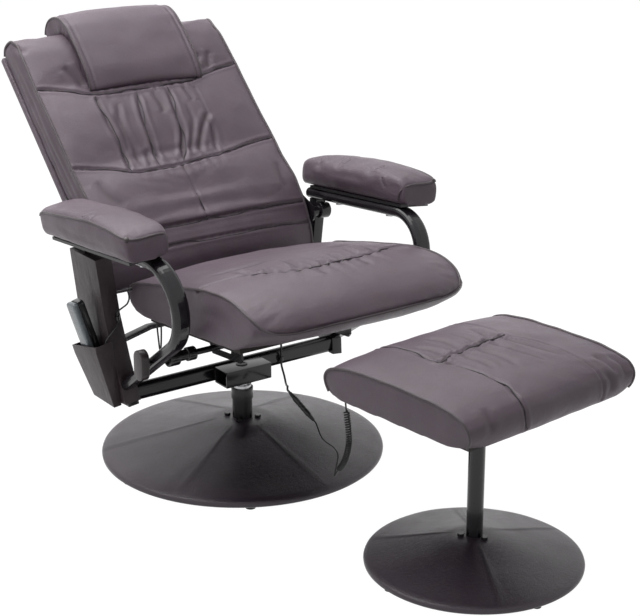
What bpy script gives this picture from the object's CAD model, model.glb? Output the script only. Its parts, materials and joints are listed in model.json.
# Swivel recliner in brown-grey leather, with its padded footstool on a round base of its own.
import json
from math import cos, pi, radians, sin
import bmesh
import bpy
import numpy as np
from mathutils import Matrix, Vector, noise
from mathutils.bvhtree import BVHTree


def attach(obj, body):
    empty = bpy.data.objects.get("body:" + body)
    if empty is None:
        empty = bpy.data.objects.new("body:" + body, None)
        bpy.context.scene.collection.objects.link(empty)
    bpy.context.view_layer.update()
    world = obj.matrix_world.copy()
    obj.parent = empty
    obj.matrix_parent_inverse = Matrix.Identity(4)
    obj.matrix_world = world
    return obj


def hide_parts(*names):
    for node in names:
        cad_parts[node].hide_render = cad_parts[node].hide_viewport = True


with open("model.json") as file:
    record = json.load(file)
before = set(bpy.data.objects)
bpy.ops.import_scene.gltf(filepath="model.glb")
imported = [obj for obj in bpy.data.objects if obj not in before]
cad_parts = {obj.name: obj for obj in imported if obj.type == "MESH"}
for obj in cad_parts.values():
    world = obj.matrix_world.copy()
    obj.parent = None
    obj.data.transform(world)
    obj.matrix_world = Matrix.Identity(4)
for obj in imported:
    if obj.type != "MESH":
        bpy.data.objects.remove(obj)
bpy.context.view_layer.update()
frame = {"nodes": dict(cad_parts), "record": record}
nodes = frame["nodes"]
scene = bpy.context.scene
chairY = 0.15408  # the chair turns about a point this far behind the middle of the set
places = {"lean": radians(6.5), "frameOut": 250, "frameLow": 178,  # side frames, splayed
          "armFall": radians(5), "armBehind": -147.2, "armUp": 327.7,  # underside of the arm boards
          "stoolTurn": radians(6), "stoolAt": (64, -661),  # footstool, a little turned
          "seatTilt": radians(5.2), "seatLow": 342.2}  # top of the seat board
print("frame loaded,", len(nodes), "nodes")


# places: the chair's own millimetres, a side frame's plane, an armrest, the turned footstool
def chairPoint(p):
    return Vector((p[0] / 1000, p[1] / 1000 + chairY, p[2] / 1000))


def sidePoint(side, behind, up, outward):
    lean = places["lean"]
    x = places["frameOut"] + outward * cos(lean) + up * sin(lean)
    return chairPoint((x * side, behind, places["frameLow"] + up * cos(lean) - outward * sin(lean)))


def armPoint(side, along, up, outward):
    fall = places["armFall"]
    return sidePoint(side, places["armBehind"] + along * cos(fall) + up * sin(fall),
                     places["armUp"] - along * sin(fall) + up * cos(fall), outward)


def stoolPoint(p):
    turn, (x, y) = places["stoolTurn"], places["stoolAt"]
    return chairPoint((x + p[0] * cos(turn) - p[1] * sin(turn),
                       y + p[0] * sin(turn) + p[1] * cos(turn), p[2]))


def seatPoint(p):
    tilt = places["seatTilt"]
    return chairPoint((p[0], p[1] * cos(tilt) + p[2] * sin(tilt),
                       places["seatLow"] - p[1] * sin(tilt) + p[2] * cos(tilt)))


def chairLine(*points):
    return [chairPoint(p) for p in points]


def stoolLine(*points):
    return [stoolPoint(p) for p in points]


# camera at the photo's angle
cameraLook = {"azimuth": -35.5, "elevation": 19.2, "distance": 3.43, "lens": 95.6,
              "target": Vector((0.130, -0.093 + chairY, 0.314))}
turnSide, turnUp = radians(cameraLook["azimuth"]), radians(cameraLook["elevation"])
towards = Vector((sin(turnSide) * cos(turnUp), -cos(turnSide) * cos(turnUp), sin(turnUp)))
bpy.ops.object.camera_add(location=cameraLook["target"] + towards * cameraLook["distance"],
                          rotation=(-towards).to_track_quat("-Z", "Y").to_euler())
scene.camera = bpy.context.object
scene.camera.data.lens = cameraLook["lens"]
scene.camera.data.sensor_width = 36
scene.view_settings.view_transform = "Standard"


# materials: a wire is one socket, and plain arithmetic on wires adds Math nodes
class Wire:
    def __init__(self, tree, socket=None):
        self.tree = tree
        self.socket = socket

    def node(self, kind, feeds=None, out=0, stops=None, **settings):
        made = self.tree.nodes.new("ShaderNode" + kind)
        for key, value in settings.items():
            setattr(made, key, value)
        if stops:
            ramp = made.color_ramp
            while len(ramp.elements) < len(stops):
                ramp.elements.new(0.5)
            for element, (place, value) in zip(ramp.elements, stops):
                element.position = place
                element.color = (value, value, value, 1)
        for key, value in (feeds or {}).items():
            if isinstance(value, Wire):
                self.tree.links.new(value.socket, made.inputs[key])
            else:
                made.inputs[key].default_value = value
        return Wire(self.tree, made.outputs[out]) if made.outputs else None

    def maths(self, operation, *terms):
        return self.node("Math", dict(enumerate(terms)), operation=operation)

    def tint(self, first, second):
        return self.node("Mix", {0: self, 6: first, 7: second}, out=2, data_type="RGBA")

    def sibling(self, name):
        return Wire(self.tree, self.socket.node.outputs[name])

    def ramp(self, *stops):
        return self.node("ValToRGB", {0: self}, stops=stops)

    def __add__(self, other):
        return self.maths("ADD", self, other)

    def __radd__(self, other):
        return self.maths("ADD", other, self)

    def __sub__(self, other):
        return self.maths("SUBTRACT", self, other)

    def __rsub__(self, other):
        return self.maths("SUBTRACT", other, self)

    def __mul__(self, other):
        return self.maths("MULTIPLY", self, other)

    def __rmul__(self, other):
        return self.maths("MULTIPLY", other, self)


def rgb(colour):
    return (colour[0], colour[1], colour[2], 1)


def newFinish(name):
    material = bpy.data.materials.new(name)
    material.use_nodes = True
    material.node_tree.nodes.clear()
    return material, Wire(material.node_tree)


def closeFinish(material, wire, colour, roughness, bumps=(), metallic=0.0, specular=0.5, coat=0.0, coatRoughness=0.1):
    normal = None
    for height, depth, strength in bumps:
        feeds = {"Height": height, "Distance": depth, "Strength": strength}
        if normal:
            feeds["Normal"] = normal
        normal = wire.node("Bump", feeds)
    feeds = {"Base Color": colour, "Roughness": roughness, "Metallic": metallic,
             "Specular IOR Level": specular, "Coat Weight": coat, "Coat Roughness": coatRoughness}
    if normal:
        feeds["Normal"] = normal
    shader = wire.node("BsdfPrincipled", feeds)
    wire.node("OutputMaterial", {"Surface": shader})
    material.diffuse_color = (0.2, 0.2, 0.2, 1)
    return material


def objectPlace(wire):
    return wire.node("TexCoord", out=3)


leatherLook = {"pale": (0.170, 0.128, 0.161), "deep": (0.124, 0.091, 0.117), "warm": (0.144, 0.098, 0.110),
               "crease": (0.022, 0.016, 0.021), "grain": 620, "roughness": 0.42, "specular": 0.45}


def makeLeather(name, look):
    material, wire = newFinish(name)
    place = objectPlace(wire)
    clouds = wire.node("TexNoise", {"Vector": place, "Scale": 5.5, "Detail": 3.0, "Roughness": 0.55})
    blotches = wire.node("TexNoise", {"Vector": place, "Scale": 38, "Detail": 4.0, "Roughness": 0.6})
    pores = wire.node("TexVoronoi", {"Vector": place, "Scale": look["grain"]}, feature="DISTANCE_TO_EDGE")
    pull = wire.node("TexNoise", {"Vector": place, "Scale": 130, "Detail": 5.0, "Roughness": 0.62, "Distortion": 0.6})
    seam = wire.node("Attribute", attribute_name="seam", out=2)
    base = clouds.ramp((0.32, 0.0), (0.68, 1.0)).tint(rgb(look["deep"]), rgb(look["pale"]))
    base = (blotches.ramp((0.42, 0.0), (0.72, 1.0)) * 0.35).tint(base, rgb(look["warm"]))
    base = (seam * 0.86).tint(base, rgb(look["crease"]))
    grainHeight = pores.ramp((0.0, 0.0), (0.22, 1.0))
    bumps = [(pull, 0.0011, 0.55), (grainHeight, 0.00022, 0.5)]
    if "folds" in look:
        stretched = wire.node("Mapping", {"Vector": place, "Scale": (30, 30, 10)})
        folds = wire.node("TexNoise", {"Vector": stretched, "Scale": 1.0, "Detail": 2.0, "Distortion": 0.5})
        bumps.insert(0, (folds, look["folds"], 0.6))
    return closeFinish(material, wire, base, blotches * 0.16 + (look["roughness"] - 0.08) + seam * 0.2, bumps,
                       specular=look["specular"])


wrapLook = {"pale": (0.056, 0.036, 0.056), "deep": (0.034, 0.021, 0.035), "warm": (0.048, 0.029, 0.037),
            "crease": (0.008, 0.006, 0.008), "grain": 560, "roughness": 0.33, "specular": 0.55}
pipingLook = dict(leatherLook, pale=(0.110, 0.088, 0.100), deep=(0.076, 0.060, 0.070), roughness=0.36, grain=900)
sleeveLook = dict(leatherLook, pale=(0.054, 0.037, 0.042), deep=(0.028, 0.018, 0.022), warm=(0.042, 0.026, 0.028),
                  roughness=0.44, folds=0.005)


def makeEnamel(name, colour, roughness, peel=0.00012, specular=0.5):
    material, wire = newFinish(name)
    place = objectPlace(wire)
    dapple = wire.node("TexNoise", {"Vector": place, "Scale": 260, "Detail": 2.0})
    smear = wire.node("TexNoise", {"Vector": place, "Scale": 14, "Detail": 4.0, "Roughness": 0.6})
    dust = wire.node("TexNoise", {"Vector": place, "Scale": 900, "Detail": 1.0})
    shade = smear.tint(rgb(colour), rgb([value * 1.7 + 0.004 for value in colour]))
    shade = (dust.ramp((0.66, 0.0), (0.8, 1.0)) * 0.25).tint(shade, rgb([value + 0.03 for value in colour]))
    return closeFinish(material, wire, shade, smear * 0.14 + (roughness - 0.07), [(dapple, peel, 0.4)],
                       specular=specular, coat=0.25, coatRoughness=0.08)


def makeMoulded(name, colour, roughness, texture=0.0003, scale=420):
    material, wire = newFinish(name)
    place = objectPlace(wire)
    stipple = wire.node("TexNoise", {"Vector": place, "Scale": scale, "Detail": 3.0, "Roughness": 0.7})
    smear = wire.node("TexNoise", {"Vector": place, "Scale": 22, "Detail": 3.0})
    shade = smear.tint(rgb([value * 0.82 for value in colour]), rgb([value * 1.2 + 0.003 for value in colour]))
    return closeFinish(material, wire, shade, stipple * 0.18 + (roughness - 0.09), [(stipple, texture, 0.45)])


def makeSteel(name, colour, roughness):
    material, wire = newFinish(name)
    place = objectPlace(wire)
    stretched = wire.node("Mapping", {"Vector": place, "Scale": (900, 60, 60)})
    brushed = wire.node("TexNoise", {"Vector": stretched, "Scale": 1.0, "Detail": 3.0, "Roughness": 0.7})
    tarnish = wire.node("TexNoise", {"Vector": place, "Scale": 70, "Detail": 4.0})
    shade = tarnish.tint(rgb([value * 0.7 for value in colour]), rgb(colour))
    return closeFinish(material, wire, shade, brushed * 0.2 + (roughness - 0.1), [(brushed, 0.0001, 0.35)],
                       metallic=1.0)


def makeWood(name):
    material, wire = newFinish(name)
    place = objectPlace(wire)
    stretched = wire.node("Mapping", {"Vector": place, "Scale": (3, 26, 60)})
    rings = wire.node("TexNoise", {"Vector": stretched, "Scale": 1.6, "Detail": 6.0, "Roughness": 0.65,
                                   "Distortion": 0.8})
    fibres = wire.node("TexNoise", {"Vector": stretched, "Scale": 14, "Detail": 3.0})
    shade = rings.ramp((0.3, 0.0), (0.7, 1.0)).tint(rgb((0.020, 0.017, 0.016)), rgb((0.042, 0.034, 0.030)))
    shade = (fibres * 0.3).tint(shade, rgb((0.012, 0.010, 0.010)))
    return closeFinish(material, wire, shade, rings * 0.2 + 0.55, [(fibres, 0.0004, 0.5)], specular=0.3)


finishes = {
    "leather": makeLeather("chair_leather", leatherLook),
    "piping": makeLeather("piping_leather", pipingLook),
    "side_leather": makeLeather("sleeve_leather", sleeveLook),
    "wrapped_leather": makeLeather("base_leather", wrapLook),
    "black_metal": makeEnamel("black_enamel", (0.010, 0.008, 0.011), 0.22, specular=0.32),
    "plate_metal": makeEnamel("plate_paint", (0.03, 0.03, 0.032), 0.55, 0.0003),
    "steel": makeSteel("plated_steel", (0.62, 0.62, 0.64), 0.3),
    "board_wood": makeWood("board_stained"),
    "black_plastic": makeMoulded("black_moulding", (0.016, 0.016, 0.017), 0.42),
    "brown_plastic": makeMoulded("brown_grip", (0.028, 0.017, 0.019), 0.34, 0.0009, 240),
    "silver_plastic": makeEnamel("silver_shell", (0.17, 0.195, 0.21), 0.28),
    "handset_black": makeEnamel("handset_gloss", (0.012, 0.012, 0.014), 0.2),
    "button_plastic": makeMoulded("key_rubber", (0.32, 0.33, 0.35), 0.5),
    "rubber": makeMoulded("cord_rubber", (0.012, 0.012, 0.013), 0.45, 0.0001),
    "thread": makeMoulded("seam_thread", (0.020, 0.014, 0.019), 0.5, 0.0004, 1400),
}
for entry in frame["record"]["subparts"]:
    part = nodes[entry["node"]]
    part.data.materials.clear()
    part.data.materials.append(finishes[entry["material_slot"]])
nodes["lead_clips"].data.materials[0] = finishes["black_metal"]
print("materials made,", len(finishes))


# small tools for the modelling
def solo(*chosen):
    if bpy.context.object and bpy.context.object.mode != "OBJECT":
        bpy.ops.object.mode_set(mode="OBJECT")
    bpy.ops.object.select_all(action="DESELECT")
    for piece in chosen:
        piece.select_set(True)
    bpy.context.view_layer.objects.active = chosen[0]


def dress(piece, body, slotName, replaced=()):
    piece.data.materials.clear()
    piece.data.materials.append(finishes[slotName])
    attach(piece, body)
    if replaced:
        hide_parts(*replaced)
    return piece


def readPoints(piece, what="co"):
    flat = np.empty(len(piece.data.vertices) * 3, np.float32)
    piece.data.vertices.foreach_get(what, flat)
    return flat.reshape(-1, 3).astype(float)


def movePoints(piece, co):
    piece.data.vertices.foreach_set("co", co.astype(np.float32).ravel())
    piece.data.update()


def applyAll(piece):
    solo(piece)
    for modifier in list(piece.modifiers):
        bpy.ops.object.modifier_apply(modifier=modifier.name)


def smoothShade(piece, angle=50):
    solo(piece)
    bpy.ops.object.shade_smooth_by_angle(angle=radians(angle))


# a CAD shape taken over as one clean closed mesh
def cleanCopy(nodeName, pieceName):
    mesh = nodes[nodeName].data.copy()
    mesh.name = pieceName
    piece = bpy.data.objects.new(pieceName, mesh)
    scene.collection.objects.link(piece)
    work = bmesh.new()
    work.from_mesh(mesh)
    bmesh.ops.remove_doubles(work, verts=work.verts, dist=2e-5)
    bmesh.ops.dissolve_degenerate(work, edges=work.edges, dist=1e-6)
    bmesh.ops.recalc_face_normals(work, faces=work.faces)
    work.to_mesh(mesh)
    work.free()
    if mesh.has_custom_normals:
        solo(piece)
        bpy.ops.mesh.customdata_custom_splitnormals_clear()
    return piece


# the same, with softened edges
def easedCopy(nodeName, pieceName, width):
    piece = cleanCopy(nodeName, pieceName)
    work = bmesh.new()
    work.from_mesh(piece.data)
    bmesh.ops.dissolve_limit(work, angle_limit=radians(2), verts=work.verts, edges=work.edges)
    work.to_mesh(piece.data)
    work.free()
    ease = piece.modifiers.new("ease", "BEVEL")
    ease.width = width
    ease.segments = 3
    ease.limit_method = "ANGLE"
    ease.angle_limit = radians(28)
    ease.harden_normals = False
    applyAll(piece)
    smoothShade(piece, 40)
    return piece


# a turned shape: rings of (radius, height) drawn up from a disc, then set along a direction
def turned(name, profile, foot=(0, 0, 0), way=(0, 0, 1), steps=32):
    bpy.ops.object.select_all(action="DESELECT")
    bpy.ops.mesh.primitive_circle_add(vertices=steps, radius=profile[0][0], fill_type="NGON",
                                      location=(0, 0, profile[0][1]))
    piece = bpy.context.object
    piece.name = name
    solo(piece)
    bpy.ops.object.transform_apply(location=True, rotation=True, scale=True)
    bpy.ops.object.mode_set(mode="EDIT")
    bpy.ops.mesh.select_all(action="SELECT")
    for (radius, height), (nextRadius, nextHeight) in zip(profile, profile[1:]):
        bpy.ops.mesh.extrude_region_move(TRANSFORM_OT_translate={"value": (0, 0, nextHeight - height)})
        share = nextRadius / radius
        bpy.ops.transform.resize(value=(share, share, 1), center_override=(0, 0, nextHeight))
    bpy.ops.mesh.select_all(action="SELECT")
    bpy.ops.mesh.remove_doubles(threshold=1e-6)
    bpy.ops.mesh.normals_make_consistent(inside=False)
    bpy.ops.object.mode_set(mode="OBJECT")
    piece.rotation_euler = Vector(way).to_track_quat("Z", "Y").to_euler()
    piece.location = foot
    solo(piece)
    bpy.ops.object.transform_apply(location=True, rotation=True, scale=True)
    smoothShade(piece, 38)
    return piece


# cords: the same hand-chosen points as the solids, on the same curve
def splineAt(a, b, c, d, t):
    return 0.5 * (2 * b + (c - a) * t + (2 * a - 5 * b + 4 * c - d) * t * t + (3 * b - a - 3 * c + d) * t * t * t)


def smoothRoute(points, steps):
    p = [Vector(q) for q in points]
    inner = [splineAt(p[i - 1], p[i], p[i + 1], p[i + 2], s / steps)
             for i in range(1, len(p) - 2) for s in range(steps)]
    return [p[0]] + inner + [p[-2], p[-1]]


def runOf(path):
    return sum((b - a).length for a, b in zip(path, path[1:]))


def rollAlong(name, path, radius, roundness):
    curve = bpy.data.curves.new(name, "CURVE")
    curve.dimensions = "3D"
    curve.bevel_depth = radius
    curve.bevel_resolution = roundness
    curve.use_fill_caps = True
    line = curve.splines.new("POLY")
    line.points.add(len(path) - 1)
    for spot, place in zip(line.points, path):
        spot.co = (place[0], place[1], place[2], 1)
    piece = bpy.data.objects.new(name, curve)
    scene.collection.objects.link(piece)
    return piece


def layCord(name, path, diameter, body, replaced):
    return dress(rollAlong(name, path, diameter / 2, 3), body, "rubber", replaced)


# a moulded connector body with its ribbed bend relief, foot to tip
def ribbedPlug(name, foot, way, length, radius, cordRadius, body, ribs):
    profile = [(radius * 0.86, 0), (radius, length * 0.04), (radius, length * 0.16), (radius * 0.9, length * 0.19),
               (radius * 0.9, length * 0.24), (radius, length * 0.27), (radius, length * 0.6)]
    for k in range(ribs):
        start = length * (0.62 + 0.36 * k / ribs)
        thick = radius * (0.86 - 0.3 * k / ribs)
        profile += [(thick * 0.84, start), (thick * 0.84, start + length * 0.03),
                    (thick, start + length * 0.045), (thick * 0.96, start + length * 0.09)]
    profile.append((cordRadius * 1.15, length))
    piece = turned(name, [(r / 1000, z / 1000) for r, z in profile], foot, way, 24)
    return dress(piece, body, "black_plastic")


cordLook = {"lead": 0.0034, "chairLead": 0.0044, "straight": 7, "curlRadius": 4.9, "curlTurns": 30, "curlSteps": 12,
            "jointTurn": radians(-67.6), "jointDrop": radians(40), "jointLong": 74.3}
seatUp = Vector((0, sin(places["seatTilt"]), cos(places["seatTilt"])))
seatAlong = Vector((0, cos(places["seatTilt"]), -sin(places["seatTilt"])))
plugFoot = Vector((105, 0, places["seatLow"])) + seatAlong * 13.33 - seatUp * 40.5
jointStart = Vector((42, -112, 157))
jointWay = Vector((cos(cordLook["jointTurn"]) * cos(cordLook["jointDrop"]),
                   sin(cordLook["jointTurn"]) * cos(cordLook["jointDrop"]), -sin(cordLook["jointDrop"])))
jointEnd = jointStart + jointWay * cordLook["jointLong"]
straight = cordLook["straight"]

# lead from the control box to the middle connector
chairRoute = [plugFoot, plugFoot - seatUp * straight, (105, 10, 262), (105, 11, 222), (105, 11, 194), (105, 11, 186),
    (105, 11, 170), (105, 9, 160), (101, -6, 145), (86, -34, 140), (64, -72, 152),
    (46, -98, 165), jointStart - jointWay * straight, jointStart]
chairPath = [chairPoint(p) for p in smoothRoute(chairRoute, 3)]
chairLead = layCord("chair_lead_cord", chairPath, cordLook["chairLead"], "upper_frame", ["chair_lead"])
controlPlug = ribbedPlug("control_plug", chairPoint(plugFoot + seatUp * 14), -seatUp, 14, 4, 2.2, "upper_frame", 2)
socketPiece = ribbedPlug("link_socket", chairPoint(jointStart + jointWay * 37), -jointWay, 37, 5.5, 2.2,
                         "upper_frame", 4)
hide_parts("lead_plugs")
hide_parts("joint_socket")
runOf(chairPath)

# lead of the footstool: gland, upper stretch, windings, lower stretch, connector
curlAxis = [Vector(p) for p in [(12, -318, 70), (11, -333, 87), (10, -347, 110), (10, -356, 144), (10, -353, 174),
    (10, -349, 195), (10, -346, 210)]]
axisFine = smoothRoute(curlAxis, 8)
axisRun = [0]
for first, second in zip(axisFine, axisFine[1:]):
    axisRun.append(axisRun[-1] + (second - first).length)
axisTotal = axisRun[-1]


def axisAt(s):
    i = max(k for k in range(len(axisRun) - 1) if axisRun[k] <= s)
    return axisFine[i].lerp(axisFine[i + 1], (s - axisRun[i]) / (axisRun[i + 1] - axisRun[i]))


def axisWay(s):
    near = cordLook["curlRadius"]
    return (axisAt(min(s + near, axisTotal)) - axisAt(max(s - near, 0))).normalized()


curlCount = cordLook["curlTurns"] * cordLook["curlSteps"]
curlFrom = straight * 0.5
curlPath = [curlAxis[0]]
for i in range(curlCount + 1):
    s = curlFrom + (axisTotal - curlFrom * 2) * i / curlCount
    ramp = min(1, i / cordLook["curlSteps"], (curlCount - i) / cordLook["curlSteps"])
    out = cordLook["curlRadius"] * (3 - 2 * ramp) * ramp * ramp
    way = axisWay(s)
    across = way.cross(Vector((1, 0.3, -0.1))).normalized()
    turn = 2 * pi * i / cordLook["curlSteps"]
    curlPath.append(axisAt(s) + out * (cos(turn) * across + sin(turn) * way.cross(across)))
curlPath.append(curlAxis[-1])
lowRoute = [jointEnd, jointEnd + jointWay * straight, (56, -205, 86), (42, -262, 92), (28, -296, 92), (22, -301, 76),
    (16, -303, 58), (12, -308, 56), curlAxis[0] - (curlAxis[1] - curlAxis[0]).normalized() * straight, curlAxis[0]]
stoolTurn = places["stoolTurn"]
glandWay = Vector((-sin(stoolTurn), cos(stoolTurn), 0))
glandMouth = (Vector((*places["stoolAt"], 306.8)) + Vector((cos(stoolTurn), sin(stoolTurn), 0)) * -31
              + glandWay * 143)
highRoute = [curlAxis[-1], curlAxis[-1] + axisWay(axisTotal) * straight, (10, -346, 228), (12, -358, 250),
    (14, -392, 276), (17, -445, 298), (18, -490, 305), glandMouth + glandWay * straight, glandMouth]
stoolPath = smoothRoute(lowRoute, 3)[:-1] + curlPath + smoothRoute(highRoute, 3)[1:]
stoolPath = [chairPoint(p) for p in reversed(stoolPath)]
stoolLead = layCord("footstool_lead_cord", stoolPath, cordLook["lead"], "footstool",
                    ["stool_lead_lower", "curly_cord", "stool_lead_upper"])
linkPlug = ribbedPlug("link_plug", chairPoint(jointStart + jointWay * 37.3), jointWay, 37, 5.5, 1.7, "footstool", 4)
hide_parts("joint_plug")
runOf(stoolPath)

# lead of the handset: down inside the pocket, over its rim, to the side of the seat
handsetWay = Vector((-0.13782, -0.98063, -0.13917))
handsetPlace = Vector((75, 58, 33))
handsetFoot = handsetPlace + handsetWay * 14.3
handsetRoute = [sidePoint(-1, *p) for p in (handsetFoot, handsetFoot + handsetWay * straight, (66, 30, 29),
    (50, 23, 29), (37, 36, 30), (32, 70, 31), (30, 104, 32), (31, 122, 28), (28, 134, 16), (30, 143, 2),
    (34, 149, -5.5), (35, 154, -6), (35, 163, -6), (35, 168, -6.5))]
handsetRoute += chairLine((-261, 32, 352), (-256, 24, 360), (-251, 16, 368), (-249, 10, 380), (-251, 8, 392),
    (-253.5, 8, 400), (-250, 8, 400))
handsetPath = smoothRoute(handsetRoute, 2)
handsetLead = layCord("handset_lead_cord", handsetPath, cordLook["lead"], "upper_frame", ["handset_lead"])
plugPlace = sidePoint(-1, *(handsetPlace + handsetWay * 0.3))
handsetPlug = ribbedPlug("handset_plug", plugPlace, handsetPath[0] - plugPlace, 14, 4, 1.7, "upper_frame", 2)
sidePlug = ribbedPlug("side_plug", chairPoint((-243.6, 8, 400)), (-1, 0, 0), 6.4, 3.5, 1.7, "upper_frame", 1)
runOf(handsetPath)

# short loop under the seat, between its two grommets
loopRoute = [(-206, -34, -9.5), (-206, -34, -16), (-208, -36, -30), (-212, -40, -46), (-214, -40, -60),
    (-212, -34, -68), (-209, -26, -62), (-207, -21, -46), (-206, -18, -30), (-206, -18, -16), (-206, -18, -9.5)]
loopPath = smoothRoute([seatPoint(p) for p in loopRoute], 3)
loopLead = layCord("seat_loop_cord", loopPath, cordLook["lead"], "seat", ["seat_loop_lead"])
runOf(loopPath)
print("cords laid")


# lines drawn over a soft surface
def through(points, step=0.004):
    p = [Vector(points[0])] + [Vector(q) for q in points] + [Vector(points[-1])]
    line = []
    for i in range(1, len(p) - 2):
        count = max(2, int((p[i + 1] - p[i]).length / step))
        line += [splineAt(p[i - 1], p[i], p[i + 1], p[i + 2], k / count) for k in range(count)]
    return line + [p[-2]]


def surfaceOf(piece):
    work = bmesh.new()
    work.from_mesh(piece.data)
    tree = BVHTree.FromBMesh(work)
    work.free()
    return tree


def snapped(tree, line):
    return [tree.find_nearest(p)[0] for p in line]


def wobble(s, seed=0.0):
    return (np.sin(s * 1.7 + seed) + 0.7 * np.sin(s * 3.1 + seed * 2.3 + 1.1)
            + 0.5 * np.sin(s * 5.3 + seed * 0.7 + 2.9)) / 2.2


# heights over the plane that a pad is mounted on, given as a place and the way inward
def above(co, plane):
    place, inward = plane
    return (co - np.array(place)) @ np.array(inward)


# a pad's outline at both of its sides
def sides(point, half, outline):
    return [[point((half * side, y, z)) for y, z in outline] for side in (-1, 1)]


# the share of seam colour at each point, which the leather finish reads
def markSeams(piece, values):
    layer = piece.data.attributes.new("seam", "FLOAT", "POINT")
    layer.data.foreach_set("value", values.astype(np.float32))


def eased(t):
    return t * t * (3 - 2 * t)


# a soft piece being shaped: its points, its normals and the marks its finish reads
class Soft:
    def __init__(self, piece):
        self.piece = piece
        self.co = readPoints(piece)
        self.normal = readPoints(piece, "normal")
        self.seam = np.zeros(len(self.co))
        self.tree = None

    def near(self, line, reach):
        line = np.array([list(p) for p in line])
        low, high = line.min(0) - reach, line.max(0) + reach
        index = np.where(((self.co > low) & (self.co < high)).all(1))[0]
        some = self.co[index]
        gap, which = np.empty(len(index)), np.empty(len(index), int)
        for start in range(0, len(index), 20000):
            block = some[start:start + 20000]
            square = (block ** 2).sum(1)[:, None] + (line ** 2).sum(1)[None, :] - 2 * block @ line.T
            which[start:start + 20000] = square.argmin(1)
            gap[start:start + 20000] = np.sqrt(np.maximum(square.min(1), 0))
        return index, gap, which / max(1, len(line) - 1)

    # a line drawn over the piece as it was before any pressing
    def trace(self, points):
        if self.tree is None:
            self.tree = surfaceOf(self.piece)
        return snapped(self.tree, through(points))

    # a sewn line or a fold: pressed in along the line, lifted a little on both sides
    def press(self, points, depth, width, lip=0.35, taper=0.0, mark=1.0, markWidth=0.5):
        index, gap, share = self.near(self.trace(points), width * 5)
        fade = np.ones(len(index))
        if taper:
            fade = eased(np.clip(np.minimum(share, 1 - share) / taper, 0, 1))
        profile = -np.exp(-(gap / width) ** 2) + lip * np.exp(-((gap - 2.1 * width) / (1.1 * width)) ** 2)
        self.co[index] += self.normal[index] * (profile * depth * fade)[:, None]
        if mark:
            self.seam[index] = np.maximum(self.seam[index], mark * fade * np.exp(-(gap / (width * markWidth)) ** 2))

    # gathers that run away from a line
    def gather(self, points, reach, depth, pitch, seed=0.0):
        line = self.trace(points)
        length = runOf(line)
        index, gap, share = self.near(line, reach * 2.2)
        s = share * length / pitch
        local = reach * (0.75 + 0.45 * wobble(s * 0.8, seed + 3.0))
        fold = np.sin(2 * pi * (s + 0.28 * wobble(s * 0.5, seed)))
        height = np.exp(-(gap / local) ** 1.6) * fold * (0.7 + 0.4 * wobble(s * 0.37, seed + 1.7))
        self.co[index] += self.normal[index] * (height * depth)[:, None]
        self.seam[index] = np.maximum(self.seam[index], 0.35 * np.clip(-height, 0, 1))

    # nothing passes the plane
    def keep(self, plane, slack):
        away = above(self.co, plane)
        under = away < slack
        self.co[under] += np.array(plane[1])[None, :] * (slack - away[under])[:, None]

    def soften(self, amount, scale, seed=0.0):
        shift = Vector((seed, seed * 0.7, seed * 1.3))
        bumps = np.array([noise.noise(Vector(p) * scale + shift) for p in self.co])
        self.co += self.normal * (bumps * amount)[:, None]

    def close(self):
        movePoints(self.piece, self.co)
        markSeams(self.piece, self.seam)
        self.piece.data.polygons.foreach_set("use_smooth", [True] * len(self.piece.data.polygons))
        return self.piece


def setWeights(piece, name, values):
    group = piece.vertex_groups.new(name=name)
    steps = np.round(np.clip(values, 0, 1) * 10).astype(int)
    for level in range(11):
        members = np.where(steps == level)[0]
        if len(members):
            group.add(members.tolist(), level / 10, "REPLACE")


# a cushion cut slightly small, blown up like foam in its cover while its seams stay down
foam = {"quality": 4, "mass": 0.3, "tension_stiffness": 14, "compression_stiffness": 14, "shear_stiffness": 6,
        "bending_stiffness": 0.8, "use_pressure": True, "vertex_group_mass": "hold"}


def padFrom(nodeName, pieceName, look, seams, plane=None):
    piece = cleanCopy(nodeName, pieceName)
    piece.data.materials.clear()
    remesh = piece.modifiers.new("even", "REMESH")
    remesh.mode = "VOXEL"
    remesh.voxel_size = look["voxel"]
    applyAll(piece)
    start = readPoints(piece) - readPoints(piece, "normal") * look["shrink"]
    movePoints(piece, start)
    tree = surfaceOf(piece)
    lines = [snapped(tree, through(seam, 0.006)) for seam in seams]
    soft = Soft(piece)
    hold = (above(start, plane) < look["held"]).astype(float) if plane else np.zeros(len(start))
    for line in lines:
        index, gap, share = soft.near(line, 0.03)
        hold[index] = np.maximum(hold[index], np.exp(-(gap / look["seamHold"]) ** 2))
    setWeights(piece, "hold", hold)
    cloth = piece.modifiers.new("puff", "CLOTH")
    for key, value in foam.items():
        setattr(cloth.settings, key, value)
    cloth.settings.uniform_pressure_force = look["pressure"]
    cloth.settings.effector_weights.gravity = 0
    cloth.collision_settings.use_collision = False
    cloth.collision_settings.use_self_collision = False
    cloth.point_cache.frame_start = 1
    cloth.point_cache.frame_end = look["frames"]
    for step in range(1, look["frames"] + 1):
        scene.frame_set(step)
    applyAll(piece)
    scene.frame_set(1)
    moved = readPoints(piece) - start
    far = np.linalg.norm(moved, axis=1)
    share = np.minimum(1, look["cap"] / np.maximum(far, 1e-9))
    movePoints(piece, start + moved * share[:, None])
    print(pieceName, "puffed by", round(float(np.percentile(far, 95)) * 1000, 1), "mm")
    ease = piece.modifiers.new("ease", "SMOOTH")
    ease.factor = 0.5
    ease.iterations = 3
    finer = piece.modifiers.new("finer", "SUBSURF")
    finer.levels = finer.render_levels = 1
    applyAll(piece)
    piece.vertex_groups.clear()
    return Soft(piece)


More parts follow.
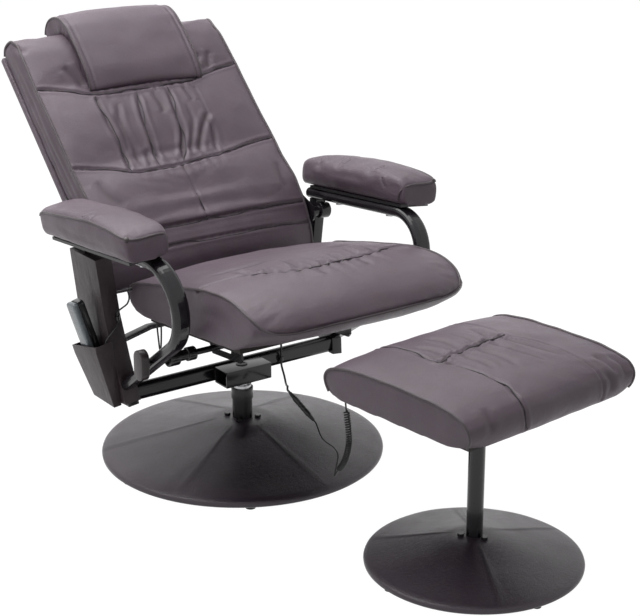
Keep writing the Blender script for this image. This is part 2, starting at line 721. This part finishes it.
# a welt of rolled leather laid over a soft piece
def welt(name, piece, line, radius, body, lift=0.45, slotName="piping"):
    tree = surfaceOf(piece)
    spots = []
    for p in through(line, 0.005):
        found = tree.find_nearest(p)
        spots.append(found[0] + found[1] * radius * lift)
    for again in range(6):
        spots = [spots[0]] + [(a + b * 2 + c) / 4 for a, b, c in zip(spots, spots[1:], spots[2:])] + [spots[-1]]
    solo(rollAlong(name, spots, radius, 2))
    bpy.ops.object.convert(target="MESH")
    roll = bpy.context.object
    roll.name = name
    smoothShade(roll, 60)
    return dress(roll, body, slotName)


def sideWelts(name, piece, lines, radius, body):
    for word, line in zip(("left", "right"), lines):
        welt(name + "_welt_" + word, piece, line, radius, body)


# the dark sewn line at the bottom of each seam
def sewLines(name, piece, lines, body):
    for k, line in enumerate(lines):
        welt(name + "_seam_" + str(k + 1), piece, line, 0.0010, body, -0.3, "thread")


# backrest
backLook = {"voxel": 0.0068, "shrink": 0.005, "pressure": 5.0, "frames": 16, "cap": 0.013, "seamHold": 0.007,
            "held": 0.010, "half": 246, "widest": 0.2462, "weltAt": 244}
upperSeam = chairLine((-246, 382, 726), (-188, 366, 721), (-131, 343, 711), (-68, 337, 710), (5, 339, 712),
    (97, 342, 713), (158, 361, 721), (246, 382, 728))
lowerSeam = chairLine((-246, 248, 583), (-203, 230, 587), (-160, 218, 583), (-121, 199, 577), (-62, 196, 575),
    (1, 198, 577), (57, 204, 581), (104, 211, 583), (174, 227, 588), (246, 240, 588))
ruchLeft = chairLine((-130, 335, 707), (-129, 295, 669), (-122, 249, 618), (-125, 206, 580))
ruchRight = chairLine((104, 330, 704), (105, 279, 655), (105, 213, 584))
middleSeam = chairLine((-11, 198, 577), (-7, 146, 527), (-6, 108, 478))
lumbarHigh = chairLine((-246, 120, 472), (-113, 108, 476), (-6, 106, 478), (121, 108, 478), (246, 120, 472))
lumbarLow = chairLine((-246, 98, 434), (-101, 87, 443), (53, 86, 444), (246, 96, 434))
backFolds = [(chairLine(*points), depth, width) for points, depth, width in (
    (((-88, 321, 697), (-101, 282, 659), (-96, 241, 607), (-95, 202, 579)), 0.0034, 0.0056),
    (((-35, 331, 707), (-48, 286, 664), (-51, 247, 618), (-59, 199, 578)), 0.0060, 0.0050),
    (((-1, 329, 706), (5, 300, 680), (2, 284, 662)), 0.0030, 0.0056),
    (((39, 331, 708), (32, 288, 668), (26, 251, 624), (-3, 201, 579)), 0.0066, 0.0052),
    (((74, 330, 706), (82, 314, 691), (84, 300, 676)), 0.0030, 0.0050),
    (((107, 281, 657), (74, 251, 623), (46, 217, 587)), 0.0042, 0.0058),
    (((98, 276, 650), (100, 246, 615), (88, 213, 584)), 0.0036, 0.0052),
    (((-66, 240, 608), (-74, 218, 590), (-76, 202, 579)), 0.0026, 0.0050),
    (((62, 300, 680), (58, 262, 636), (22, 214, 590)), 0.0022, 0.0056),
    (((-112, 300, 674), (-108, 262, 634), (-112, 232, 602)), 0.0022, 0.0056),
    (((154, 393, 757), (138, 376, 740), (120, 361, 723)), 0.0034, 0.0070),
    (((182, 398, 758), (172, 380, 740), (168, 368, 726)), 0.0030, 0.0070),
    (((-168, 404, 758), (-150, 380, 738), (-140, 360, 722)), 0.0024, 0.0080),
    (((214, 190, 548), (206, 160, 520), (210, 136, 500)), 0.0014, 0.0100),
    (((-206, 206, 566), (-196, 176, 540), (-170, 150, 518)), 0.0014, 0.0100))]
backSide = [(84, 370), (91, 412), (112, 466), (146, 511), (185, 545), (238, 589), (309, 659), (381, 728), (440, 787),
    (468, 807), (488, 815), (505, 810), (518, 800), (526, 786), (522, 770)]
rearPlane = (chairPoint((0, 110, 362)), (0.0, -0.703, 0.711))
backSeams = [upperSeam, lowerSeam, ruchLeft, ruchRight, middleSeam, lumbarHigh, lumbarLow]
back = padFrom("back_cushion", "back_leather", backLook, backSeams, rearPlane)
for line, depth, width in backFolds:
    back.press(line, depth, width, lip=0.5, taper=0.22, mark=0.5, markWidth=0.7)
back.gather(upperSeam[2:6], 0.040, 0.0010, 0.021, 0.6)
back.gather(lowerSeam[3:8], 0.044, 0.0012, 0.023, 2.1)
for line, depth, width in ((upperSeam, 0.0034, 0.0034), (lowerSeam, 0.0034, 0.0034), (ruchLeft, 0.0040, 0.0038),
                           (ruchRight, 0.0018, 0.0030), (middleSeam, 0.0022, 0.0030), (lumbarHigh, 0.0026, 0.0034),
                           (lumbarLow, 0.0022, 0.0034)):
    back.press(line, depth, width, taper=0.04, mark=0.25 if line is ruchRight else 0.7)
for start, depth in ((0, 0.0016), (16, 0.0020), (34, 0.0014)):
    outline = [(y + start * 0.72 + 16, z - start * 0.7 - 10) for y, z in backSide[2:10]]
    for crease in sides(chairPoint, backLook["half"], outline):
        back.press(crease, depth, 0.006, lip=0.6, taper=0.3, mark=0.25, markWidth=1.2)
back.soften(0.0011, 26, 1.0)
back.keep(rearPlane, 0.0004)
back.co[:, 0] = np.clip(back.co[:, 0], -backLook["widest"], backLook["widest"])
backPiece = dress(back.close(), "backrest", "leather", ["back_cushion"])
sewLines("back", backPiece, [upperSeam, lowerSeam, ruchLeft, middleSeam[1:], lumbarHigh, lumbarLow], "backrest")
sewLines("back_fold", backPiece, [backFolds[1][0], backFolds[3][0]], "backrest")
sideWelts("back", backPiece, sides(chairPoint, backLook["weltAt"], backSide), 0.0027, "backrest")
print("backrest shaped")

# headrest pillow
pillowLook = {"voxel": 0.0050, "shrink": 0.004, "pressure": 6.0, "frames": 16, "cap": 0.014, "seamHold": 0.006,
              "downRun": 0.060, "drawnDown": 0.011, "inRun": 0.045, "drawnIn": 0.013,
              "restReach": 0.045, "restGap": 0.0004, "faceFrom": 0.15, "faceOver": 0.45, "seamAt": 122, "weltAt": 136.5}
pillowSide = [(346, 727), (347, 734), (359, 747), (382, 774), (414, 807), (446, 836), (476, 849), (506, 848),
    (532, 839), (546, 824), (550, 808), (546, 797)]
pillowSeams = sides(chairPoint, pillowLook["seamAt"], pillowSide[1:11])
pillow = padFrom("headrest_pillow", "pillow_leather", pillowLook, pillowSeams)
for line in pillowSeams:
    pillow.press(line, 0.0020, 0.0034, mark=0.8)
for line, depth in ((chairLine((-118, 366, 736), (-60, 360, 732), (10, 357, 730)), 0.0012),
                    (chairLine((40, 358, 730), (90, 366, 738), (122, 384, 756)), 0.0014)):
    pillow.press(line, depth, 0.012, lip=0.5, taper=0.35, mark=0)
alongBack, offBack = np.array((0, 0.70, 0.714)), np.array((0, -0.714, 0.70))


# the foot of the pillow is drawn down to the seam and back on to the backrest
def lowered(co):
    run = (co - np.array(chairPoint((0, 346, 727)))) @ alongBack
    down, inward = (np.clip(1 - run / pillowLook[reach], 0, 1) for reach in ("downRun", "inRun"))
    return (co - alongBack[None, :] * (pillowLook["drawnDown"] * eased(down))[:, None]
            - offBack[None, :] * (pillowLook["drawnIn"] * (inward * inward))[:, None])


pillow.co = lowered(pillow.co)
pillow.soften(0.0010, 22, 4.0)
# the underside lies on the backrest: what faces it is let down on to it, so the arch isn't hollow
rest = surfaceOf(backPiece)
for k, (place, outward) in enumerate(zip(pillow.co, pillow.normal)):
    below = rest.find_nearest(Vector(place), pillowLook["restReach"])[0]
    if below is None:
        continue
    way = np.array(below) - place
    gap = float(np.linalg.norm(way))
    facing = float(way @ outward) / max(gap, 1e-6)
    if gap > 0.0005 and facing > pillowLook["faceFrom"]:
        share = min(1.0, (facing - pillowLook["faceFrom"]) / pillowLook["faceOver"])
        pillow.co[k] = place + way * share * (1 - pillowLook["restGap"] / gap)
pillowPiece = dress(pillow.close(), "backrest", "leather", ["headrest_pillow"])
pillowRims = [[Vector(p) for p in lowered(np.array([list(q) for q in line]))]
              for line in sides(chairPoint, pillowLook["weltAt"], pillowSide)]
sideWelts("pillow", pillowPiece, pillowRims, 0.0021, "backrest")
print("pillow shaped")

# seat
seatLook = {"voxel": 0.0066, "shrink": 0.005, "pressure": 5.0, "frames": 16, "cap": 0.013, "seamHold": 0.007,
            "held": 0.009, "half": 243, "widest": 0.2432, "weltAt": 241}
seatArc = chairLine((-243, -226, 466), (-196, -236, 474), (-148, -254, 483), (-100, -284, 488), (-57, -298, 490),
    (0, -299, 490), (52, -297, 490), (110, -288, 488), (158, -272, 485), (200, -256, 478), (243, -246, 468))
seatFront = chairLine((-240, -372, 465), (-231, -408, 448), (-217, -424, 430), (-186, -434, 423), (-108, -449, 426),
    (-20, -453, 427), (60, -452, 427), (130, -446, 426), (186, -434, 423), (217, -424, 430), (231, -408, 448),
    (240, -372, 465))
seatSide = [(22, 401), (0, 417), (-50, 428), (-110, 440), (-165, 452), (-213, 462), (-260, 470), (-298, 474),
    (-340, 473), (-372, 465)]
seatPlane = (chairPoint((0, 0, places["seatLow"])), (0.0, sin(places["seatTilt"]), cos(places["seatTilt"])))
seatLeft, seatRight = sides(chairPoint, seatLook["weltAt"], seatSide)
seat = padFrom("seat_cushion", "seat_leather", seatLook, [seatArc, seatLeft, seatRight, seatFront], seatPlane)
seat.gather(seatArc[2:9], 0.040, 0.0024, 0.024, 1.4)
for points, depth, width in (
        (((-43, -206, 479), (-48, -250, 486), (-57, -296, 490)), 0.0030, 0.0075),
        (((-104, -236, 481), (-108, -262, 486), (-102, -286, 488)), 0.0028, 0.0070),
        (((4, -262, 487), (0, -282, 489), (-8, -298, 490)), 0.0026, 0.0060),
        (((44, -236, 483), (40, -268, 487), (37, -296, 490)), 0.0028, 0.0065),
        (((92, -222, 480), (88, -256, 486), (84, -290, 489)), 0.0024, 0.0065),
        (((-150, -206, 474), (-146, -230, 479), (-140, -256, 484)), 0.0020, 0.0080),
        (((134, -216, 478), (132, -246, 483), (128, -280, 486)), 0.0020, 0.0080),
        (((-30, -300, 490), (-34, -330, 490), (-30, -352, 488)), 0.0016, 0.0080),
        (((60, -298, 490), (66, -326, 490), (64, -350, 488)), 0.0016, 0.0080),
        (((-186, -180, 464), (-120, -196, 474), (-60, -190, 475)), 0.0016, 0.0110),
        (((20, -170, 472), (90, -186, 476), (150, -176, 471)), 0.0016, 0.0110)):
    seat.press(chairLine(*points), depth + 0.0008, width * 0.8, lip=0.6, taper=0.3, mark=0.75, markWidth=0.6)
seat.press(seatArc, 0.0034, 0.0042)
for outline, depth in ((((-60, 410), (-150, 424), (-240, 436)), 0.0016),
                       (((-190, 412), (-280, 428), (-350, 436)), 0.0018),
                       (((-120, 396), (-200, 404), (-300, 410)), 0.0014)):
    for crease in sides(chairPoint, seatLook["half"], outline):
        seat.press(crease, depth, 0.009, lip=0.6, taper=0.35, mark=0.15, markWidth=1.0)
seat.soften(0.0012, 22, 7.0)
seat.keep(seatPlane, 0.0004)
seat.co[:, 0] = np.clip(seat.co[:, 0], -seatLook["widest"], seatLook["widest"])
seatPiece = dress(seat.close(), "seat", "leather", ["seat_cushion"])
sewLines("seat", seatPiece, [seatArc], "seat")
welt("seat_welt", seatPiece, seatLeft + seatFront[1:-1] + seatRight[::-1], 0.0026, "seat")
print("seat shaped")

# footstool cushion
stoolLook = {"voxel": 0.0058, "shrink": 0.005, "pressure": 5.0, "frames": 16, "cap": 0.013, "seamHold": 0.006,
             "held": 0.337, "weltAt": 210, "cornerUp": 0.012, "cornerIn": 0.010, "cornerOut": 0.28,
             "cornerFrom": (0.160, 0.130, 0.378), "cornerOver": (0.050, 0.050, 0.044)}
stoolLeft = stoolLine((-84, 184, 360), (-86, 160, 396), (-89, 111, 410), (-92, 56, 414), (-98, 4, 416),
    (-82, -24, 416), (-75, -66, 415), (-72, -111, 410), (-74, -141, 403), (-80, -172, 388), (-80, -184, 366),
    (-77, -184, 340))
stoolRight = stoolLine((96, 184, 360), (97, 160, 396), (98, 111, 410), (94, 60, 415), (82, 24, 417), (98, -12, 416),
    (110, -45, 414), (114, -90, 411), (115, -125, 406), (117, -160, 394), (117, -180, 372), (115, -184, 340))
stoolCross = stoolLine((-98, 3, 416), (-74, 8, 417), (-62, 18, 417), (-40, 14, 417), (-15, 21, 418), (10, 18, 418),
    (37, 25, 417), (60, 20, 417), (82, 24, 417))
stoolSide = [(172, 330), (180, 341), (181, 356), (176, 374), (160, 388), (130, 397), (80, 402), (0, 404), (-80, 402),
    (-130, 397), (-160, 388), (-176, 374), (-181, 356), (-180, 341), (-172, 330)]
stoolRims = sides(stoolPoint, stoolLook["weltAt"], stoolSide)
stool = padFrom("stool_cushion", "footstool_leather", stoolLook, [stoolLeft, stoolRight, stoolCross] + stoolRims,
                ((0, 0, 0), (0, 0, 1)))
stool.gather(stoolCross, 0.048, 0.0026, 0.023, 0.3)
for points, depth, width in (
        (((-60, 18, 417), (-62, 60, 416), (-74, 96, 412)), 0.0028, 0.0060),
        (((-22, 20, 417), (-14, 70, 415), (-20, 120, 409)), 0.0034, 0.0064),
        (((18, 22, 417), (28, 66, 415), (24, 104, 411)), 0.0030, 0.0060),
        (((52, 24, 417), (66, 62, 415), (70, 98, 411)), 0.0026, 0.0060),
        (((-48, 8, 417), (-40, -40, 416), (-44, -80, 414)), 0.0028, 0.0064),
        (((-8, 14, 417), (2, -46, 416), (-6, -104, 411)), 0.0030, 0.0068),
        (((34, 18, 417), (46, -40, 416), (60, -110, 409)), 0.0030, 0.0066),
        (((66, 18, 417), (84, -40, 415), (100, -110, 408)), 0.0022, 0.0070),
        (((150, -120, 404), (160, -150, 396), (158, -176, 376)), 0.0030, 0.0080),
        (((176, -130, 400), (184, -160, 386), (180, -178, 362)), 0.0030, 0.0075),
        (((134, -168, 388), (140, -180, 370), (136, -184, 350)), 0.0022, 0.0070),
        (((-150, -150, 396), (-158, -172, 378), (-156, -182, 356)), 0.0020, 0.0080)):
    stool.press(stoolLine(*points), depth, width, lip=0.5, taper=0.3, mark=0.32, markWidth=0.8)
for line, depth, width in ((stoolLeft, 0.0032, 0.0034), (stoolRight, 0.0018, 0.0030), (stoolCross, 0.0040, 0.0040)):
    stool.press(line, depth, width, mark=0.2 if line is stoolRight else 0.7)
# the lower corners are tucked up and in
middle = stoolPoint((0, 0, 0))
away = stool.co - np.array(middle)
across, fore = (away @ np.array((stoolPoint(p) - middle).normalized()) for p in ((1000, 0, 0), (0, 1000, 0)))
start = stoolLook["cornerFrom"]
past = (np.abs(across) - start[0], np.abs(fore) - start[1], start[2] - away[:, 2])
inCorner = np.prod([np.clip(far / over, 0, 1) for far, over in zip(past, stoolLook["cornerOver"])], axis=0) ** 1.4
stool.co[:, 2] += stoolLook["cornerUp"] * inCorner
stool.co[:, :2] -= away[:, :2] * (stoolLook["cornerIn"] * inCorner / stoolLook["cornerOut"])[:, None]
stool.soften(0.0011, 24, 11.0)
stool.keep((stoolPoint((0, 0, 328)), (0, 0, 1)), 0.0003)
stoolPiece = dress(stool.close(), "footstool", "leather", ["stool_cushion"])
sewLines("footstool", stoolPiece, [stoolLeft, stoolCross], "footstool")
sideWelts("footstool", stoolPiece, stoolRims, 0.0026, "footstool")
print("footstool cushion shaped")

# arm pads
padLook = {"voxel": 0.0044, "shrink": 0.004, "pressure": 4.0, "frames": 14, "cap": 0.010, "seamHold": 0.005,
           "held": 0.007, "foot": 17.2, "footReach": 0.016, "footDown": 0.0058}
padEdge = [(312, 0.60, 56), (298, 0.74, 60), (263, 0.80, 62), (211, 0.85, 63), (158, 0.90, 63), (106, 0.95, 63),
    (53, 0.94, 63), (8, 0.86, 62), (-12, 0.78, 60), (-24, 0.68, 54), (-31, 0.62, 40), (-33, 0.62, 20), (-31, 0.60, 0),
    (-26, 0.52, -13), (-19, 0.38, -21), (-16, 0.22, -24), (-16, 0.10, -24)]


# places on a pad: drawn for a pad 350 long and 90 wide, then spread over the real one
def padLine(side, points):
    return [armPoint(side, (u + 34) * 360 / 350 - 44, padLook["foot"] + 70 * h, 20 + (w - 20) * 104 / 90)
            for u, h, w in points]


for side, word in ((-1, "left"), (1, "right")):
    upwards = (armPoint(side, 0, 100, 0) - armPoint(side, 0, 0, 0)).normalized()
    padPlane = (armPoint(side, 0, padLook["foot"], 20), upwards)
    edge = padLine(side, padEdge)
    pad = padFrom(word + "_arm_pad", word + "_pad_leather", padLook, [edge], padPlane)
    darts = [[(130, 0.97, 60), (124, 1.03, 48), (116, 1.07, 36)], [(96, 0.98, 60), (100, 1.04, 50), (104, 1.07, 42)]]
    if side > 0:
        darts = [[(70, 0.98, -22), (62, 1.04, -12), (56, 1.06, 0)],
                 [(176, 0.93, -22), (170, 1.0, -12), (164, 1.02, -2)],
                 [(22, 0.42, -25), (30, 0.60, -25), (34, 0.74, -25)]]
    for points in darts:
        pad.press(padLine(side, points), 0.0016, 0.0036, mark=0.8, taper=0.15)
    for points in ([(240, 0.5, 65), (150, 0.42, 65), (60, 0.5, 65)], [(200, 0.25, 65), (120, 0.3, 65), (20, 0.36, 64)],
                   [(230, 0.5, -25), (140, 0.55, -25), (60, 0.5, -25)]):
        pad.press(padLine(side, points), 0.0012, 0.007, lip=0.6, taper=0.35, mark=0.1)
    pad.soften(0.0009, 34, 15.0 + side)
    pad.keep(padPlane, 0.0003)
    low = np.clip(1 - above(pad.co, padPlane) / padLook["footReach"], 0, 1)
    pad.co -= np.array(upwards)[None, :] * (eased(low) * padLook["footDown"])[:, None]
    padPiece = dress(pad.close(), "upper_frame", "leather", [word + "_arm_pad"])
    welt(word + "_pad_welt", padPiece, edge, 0.0023, "upper_frame")
    corner = padLine(side, [(-26, 0.70, 53)])[0]
    found = surfaceOf(padPiece).find_nearest(corner)
    studProfile = [(0.0042, 0), (0.0050, 0.0010), (0.0046, 0.0022), (0.0030, 0.0032), (0.0008, 0.0036)]
    stud = turned(word + "_pad_stud", studProfile, found[0] + found[1] * 0.0012, found[1], 20)
    dress(stud, "upper_frame", "brown_plastic")
print("arm pads shaped")

# round bases in wrapped leather: a turned shell whose cover is pulled tight between its seams
chairBaseLook = {"profile": [(262, 10), (262, 6.6), (282, 6.6), (287, 7.6), (290, 10), (290.6, 14), (289.4, 17.6),
                             (285, 20.6), (274, 24.6), (252, 30.6), (226, 37), (198, 43.8), (170, 50.4), (142, 57),
                             (114, 63.8), (90, 69.4), (70, 74.2), (58, 77), (50, 78.2), (40, 78.8), (30, 79),
                             (21, 79), (19, 78.6)],
                 "seams": (153, -88.7, 30.4, -150, 91), "sag": 1.8, "inner": 56, "outer": 284}
stoolBaseLook = {"profile": [(172, 9), (172, 5.8), (190, 5.8), (195, 6.8), (198, 9.4), (198.6, 13), (197.4, 16.4),
                             (193.6, 19), (184, 22), (168, 26.2), (150, 30.8), (130, 35.8), (110, 40.8), (90, 45.8),
                             (72, 50.6), (58, 54.4), (48, 57), (40, 58.8), (30, 59.8), (20, 60), (16, 60),
                             (14, 59.6)],
                 "seams": (125.3, -115.5, -2.4, 60), "sag": 1.7, "inner": 44, "outer": 192}


def wrappedBase(name, look, centre, body, replaced):
    piece = turned(name, [(r / 1000, z / 1000) for r, z in look["profile"]], steps=180)
    co = readPoints(piece)
    radius = np.hypot(co[:, 0], co[:, 1]) * 1000
    angle = np.degrees(np.arctan2(co[:, 1], co[:, 0]))
    seams = sorted(look["seams"])
    inside = (radius > look["inner"] - 4) & (radius < look["outer"] + 4) & (co[:, 2] * 1000 > 18)
    reach = np.clip((radius - look["inner"]) / 60, 0, 1) * np.clip((look["outer"] - radius) / 30, 0, 1)
    drop, mark = np.zeros(len(co)), np.zeros(len(co))
    for first, second in zip(seams, seams[1:] + [seams[0] + 360]):
        share = ((angle - first) % 360) / (second - first)
        within = inside & (share <= 1)
        drop[within] += (look["sag"] * np.sin(pi * np.clip(share, 0, 1)) ** 0.8 * reach)[within]
    for seam in seams:
        gap = np.abs((angle - seam + 180) % 360 - 180) * pi / 180 * radius
        lip = np.exp(-(gap / 4.0) ** 2) * inside
        drop += -1.1 * lip * np.clip(reach * 2, 0, 1)
        mark = np.maximum(mark, 0.6 * np.exp(-((gap - 3.5) / 2.6) ** 2) * inside)
    co[:, 2] -= drop / 1000
    co[:, 2] += np.array([noise.noise(Vector(p) * 16) for p in co]) * 0.0008 * inside
    movePoints(piece, co + np.array(centre))
    markSeams(piece, mark)
    smoothShade(piece, 60)
    return dress(piece, body, "wrapped_leather", replaced)


wrappedBase("chair_base_leather", chairBaseLook, chairPoint((0, 0, 0)), "base", ["base_cover"])
wrappedBase("footstool_base_leather", stoolBaseLook, stoolPoint((0, 0, 0)), "footstool", ["stool_cover"])
print("bases wrapped")

# leather covers and black hardware: copies of their solids with softened edges
for nodeName, pieceName, body, slotName, width in (
        ("upright_sleeves", "sleeve_leather", "upper_frame", "side_leather", 0.0028),
        ("handset_pocket", "pocket_leather", "upper_frame", "side_leather", 0.0012),
        ("back_panel", "rear_cover_leather", "backrest", "side_leather", 0.004),
        ("bracket_box", "bracket_box_eased", "upper_frame", "black_metal", 0.0016),
        ("uprights", "uprights_eased", "upper_frame", "black_metal", 0.0012),
        ("rear_brace", "rear_brace_eased", "upper_frame", "black_metal", 0.0010),
        ("lock_handle", "lock_handle_eased", "lock_knob", "brown_plastic", 0.0030),
        ("lock_collars", "lock_collars_eased", "upper_frame", "black_metal", 0.0012),
        ("handset_back", "handset_back_eased", "handset", "silver_plastic", 0.0040),
        ("handset_front", "handset_front_eased", "handset", "handset_black", 0.0012),
        ("control_box", "control_box_eased", "seat", "black_plastic", 0.0014),
        ("stool_motor", "stool_motor_eased", "footstool", "black_plastic", 0.0016)):
    copied = dress(easedCopy(nodeName, pieceName, width), body, slotName, [nodeName])
    if nodeName == "back_panel":
        copied.data.materials[0] = finishes["leather"]
# end plug of the turning stem, let into the top of the bracket box
stemProfile = [(0.0120, 0), (0.0120, 0.0012), (0.0104, 0.0021), (0.0080, 0.0021), (0.0070, 0.0008), (0.0006, 0.0006)]
stemPlug = turned("stem_plug", stemProfile, chairPoint((0, 0, 193)))
dress(stemPlug, "upper_frame", "black_plastic")
print("hardware eased")

# light: a soft white studio, bright from above
lightLook = {"above": 65.0, "front": 0.4, "left": 1.8, "sky": 0.105}


def softLamp(name, place, aim, size, energy):
    bpy.ops.object.light_add(type="AREA", location=place,
                             rotation=(Vector(aim) - Vector(place)).to_track_quat("-Z", "Y").to_euler())
    lamp = bpy.context.object
    lamp.name = name
    lamp.data.shape = "RECTANGLE"
    lamp.data.size, lamp.data.size_y = size
    lamp.data.energy = energy


softLamp("lamp_above", (-0.4, 0.8, 2.5), (0, 0, 0.3), (2.6, 2.2), lightLook["above"])
softLamp("lamp_front", (0.9, -2.6, 1.5), (0, 0, 0.4), (1.8, 1.6), lightLook["front"])
softLamp("lamp_left", (-2.6, -0.4, 1.3), (0, 0, 0.4), (1.4, 1.6), lightLook["left"])

world = scene.world or bpy.data.worlds.new("studio")
scene.world = world
world.use_nodes = True
world.node_tree.nodes.clear()
sky = Wire(world.node_tree)
seen = sky.node("LightPath")
seenBy = sky.maths("MAXIMUM", seen, seen.sibling("Is Glossy Ray"))
seenBy = sky.maths("MAXIMUM", seenBy, seen.sibling("Is Transmission Ray"))
lit = sky.node("Background", {"Color": (1.0, 0.985, 0.99, 1), "Strength": lightLook["sky"]})
plain = sky.node("Background", {"Color": (1, 1, 1, 1), "Strength": 1.0})
sky.node("OutputWorld", {"Surface": sky.node("MixShader", {0: seenBy, 1: lit, 2: plain})})

# the floor keeps a little of its paper, so the object's shadow stays on the white
floorLook = {"size": 14, "paper": (0.66, 0.65, 0.66), "glow": 1.16, "share": 0.86}
bpy.ops.object.select_all(action="DESELECT")
bpy.ops.mesh.primitive_plane_add(size=floorLook["size"], location=(0, 0, 0))
floor = bpy.context.object
floor.name = "studio_floor"
material, wire = newFinish("floor_white")
seen = wire.node("LightPath")
seenBy = wire.maths("MAXIMUM", seen, seen.sibling("Is Glossy Ray"))
paper = wire.node("BsdfDiffuse", {"Color": rgb(floorLook["paper"])})
glow = wire.node("Emission", {"Color": (1, 1, 1, 1), "Strength": floorLook["glow"]})
wire.node("OutputMaterial", {"Surface": wire.node("MixShader", {0: seenBy * floorLook["share"], 1: paper, 2: glow})})
floor.data.materials.append(material)
print("studio lit")
